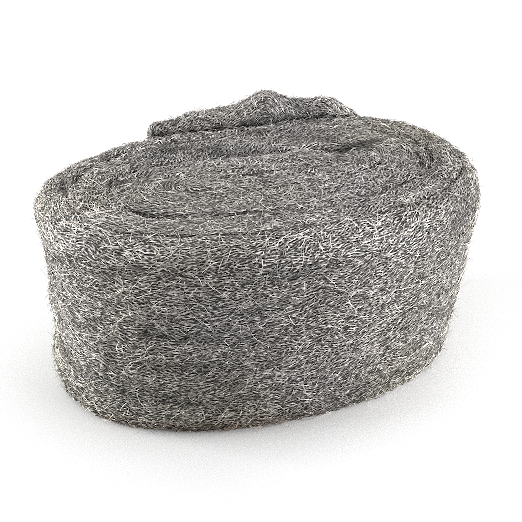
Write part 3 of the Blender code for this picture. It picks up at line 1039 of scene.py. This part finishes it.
def build_fibres(surface, material):
    upward = np.clip(surface.normal[:, 2], 0.0, 1.0)
    under = surface.normal[:, 2] < UNDERSIDE
    in_grooves = GROOVE_DENSITY + (1.0 - GROOVE_DENSITY) * surface.air
    density = surface.shows * np.where(under, UNDER_DENSITY, 1.0) * in_grooves
    spread = np.radians(WALL_WANDER + TOP_WANDER * upward)
    lean = lean_at(surface.back, upward)
    on_flap = raised(surface.back) * (surface.centre[:, 2] > STRIP_WIDTH - FLAP_BAND)
    for number in range(FIBRE_PIECES):
        random = np.random.default_rng(SEED + number)
        groups = []
        for count, length, points, wander, curl, level, lift, radius, tone, stray in FIBRE_KINDS:
            where = density * ~under * (1.0 + FLAP_FUZZ * on_flap) if stray else density
            path, normals, shade = grow(
                surface, random, count, where, length, points, spread * wander, lean, curl, level, lift, stray
            )
            # Painted shade: each fibre's random tone is multiplied by the painted shade under it
            shaded_tones = random.uniform(*tone, (count, 1)) * shade
            groups.append((path, normals, random.uniform(*radius, count), shaded_tones))
        mesh = fibre_mesh(f"fibres_{number + 1}", groups, random)
        make_piece(f"wool_roll_fibres_{number + 1}", mesh, material)


# The table as the camera sees it: its tone, and a painted pool of light in front of the right end
FLOOR_TONE = 0.575
FLOOR_PAINTED_LIGHT = 0.80
FLOOR_PAINTED_LIGHT_PLACE = (0.058, -0.045, 0.0)
FLOOR_PAINTED_LIGHT_REACH = 0.11
FLOOR_FAR = (0.20, 0.45)  # distances from that place between which it turns to white
FLOOR_BOUNCE = 0.30  # its tone for the light that the roll gets from it
FLOOR_HALF = 3.0  # half its size


def eased(nodes, links, value, start, end, least, most):
    """A number that goes softly from one tone to another between two distances."""
    node = new_node(nodes, "ShaderNodeMapRange", From_Min=start, From_Max=end, To_Min=least, To_Max=most)
    node.interpolation_type = "SMOOTHSTEP"
    links.new(value, node.inputs["Value"])
    return node.outputs["Result"]


def floor_material():
    material, nodes, links, shader = material_nodes("white_table", 0.0, 0.9)
    here = nodes.new("ShaderNodeNewGeometry")
    away = nodes.new("ShaderNodeVectorMath")
    away.operation = "DISTANCE"
    away.inputs[1].default_value = FLOOR_PAINTED_LIGHT_PLACE
    links.new(here.outputs["Position"], away.inputs[0])
    distance = away.outputs["Value"]
    # Painted light: a lighter pool on the table in front of the right end
    light = eased(nodes, links, distance, 0.0, FLOOR_PAINTED_LIGHT_REACH, FLOOR_PAINTED_LIGHT, FLOOR_TONE)
    far = eased(nodes, links, distance, *FLOOR_FAR, 0.0, 1.0 - FLOOR_TONE)
    rays = nodes.new("ShaderNodeLightPath")
    tone = nodes.new("ShaderNodeMix")
    tone.data_type = "RGBA"
    tone.inputs["A"].default_value = (FLOOR_BOUNCE, FLOOR_BOUNCE, FLOOR_BOUNCE, 1.0)
    links.new(rays.outputs["Is Camera Ray"], tone.inputs["Factor"])
    links.new(worked_out(nodes, links, "ADD", light, far), tone.inputs["B"])
    links.new(tone.outputs["Result"], shader.inputs["Base Color"])
    return material


def build_stage():
    corners = [(x * FLOOR_HALF, y * FLOOR_HALF, 0.0) for x, y in ((-1, -1), (1, -1), (1, 1), (-1, 1))]
    mesh = bpy.data.meshes.new("floor")
    mesh.from_pydata(corners, [], [(0, 1, 2, 3)])
    mesh.materials.append(floor_material())
    floor = bpy.data.objects.new("floor", mesh)
    bpy.context.scene.collection.objects.link(floor)


# Even light from all round, and soft lights: (name, place, what it is aimed at, size, watts)
WORLD_LIGHT = 0.58
SOFT_LIGHTS = [
    ("softbox_top", (0.0, 0.20, 0.80), (0.0, 0.0, 0.05), (0.9, 0.6), 5.0),
    ("softbox_right", (0.82, -0.50, 0.20), (0.0, 0.0, 0.04), (1.0, 0.4), 22.5),
    ("softbox_left", (-0.80, 0.26, 0.20), (0.0, 0.0, 0.04), (0.5, 0.4), 16.5),
]


def build_lights():
    world = bpy.data.worlds.new("studio")
    bpy.context.scene.world = world
    world.use_nodes = True
    background = world.node_tree.nodes["Background"]
    background.inputs["Color"].default_value = (1.0, 1.0, 1.0, 1.0)
    background.inputs["Strength"].default_value = WORLD_LIGHT
    for name, place, target, size, watts in SOFT_LIGHTS:
        data = bpy.data.lights.new(name, "AREA")
        data.shape = "RECTANGLE"
        data.size, data.size_y = size
        data.energy = watts
        light = bpy.data.objects.new(name, data)
        light.location = place
        light.rotation_mode = "QUATERNION"
        light.rotation_quaternion = (Vector(target) - Vector(place)).to_track_quat("-Z", "Y")
        bpy.context.scene.collection.objects.link(light)


# The fitted view of the photograph
VIEW_DISTANCE = 0.360
VIEW_ELEVATION = 30.8
VIEW_AZIMUTH = -18.0
VIEW_TARGET = (-0.00115, 0.00065, 0.0382)
LENS = 62.9
SENSOR = 36.0


def build_camera():
    data = bpy.data.cameras.new("photo_view")
    data.lens = LENS
    data.sensor_width = SENSOR
    data.clip_start = 0.01
    camera = bpy.data.objects.new("photo_view", data)
    a, e = radians(VIEW_AZIMUTH), radians(VIEW_ELEVATION)
    back = Vector((sin(a) * cos(e), -cos(a) * cos(e), sin(e)))
    camera.location = Vector(VIEW_TARGET) + back * VIEW_DISTANCE
    camera.rotation_mode = "QUATERNION"
    camera.rotation_quaternion = (-back).to_track_quat("-Z", "Y")
    bpy.context.scene.collection.objects.link(camera)
    bpy.context.scene.camera = camera


# Share of the sharpened picture
SHARPENING = 0.045


def sharpen_picture():
    """Crisp edges, as in the photograph."""
    scene = bpy.context.scene
    scene.use_nodes = True
    nodes, links = scene.node_tree.nodes, scene.node_tree.links
    rendered = next(node for node in nodes if node.bl_idname == "CompositorNodeRLayers")
    result = next(node for node in nodes if node.bl_idname == "CompositorNodeComposite")
    sharp = nodes.new("CompositorNodeFilter")
    sharp.filter_type = "SHARPEN_DIAMOND"
    sharp.inputs["Fac"].default_value = SHARPENING
    links.new(rendered.outputs["Image"], sharp.inputs["Image"])
    links.new(sharp.outputs["Image"], result.inputs["Image"])


bpy.context.scene.view_settings.view_transform = "Standard"
bpy.context.scene.cycles.use_denoising = False
bpy.context.scene.cycles.filter_width = 1.0
sharpen_picture()
build_camera()
build_lights()
build_stage()
body = Body()
surface = Surface(body)
build_body(body, surface, matted_material())
build_fibres(surface, fibre_material())
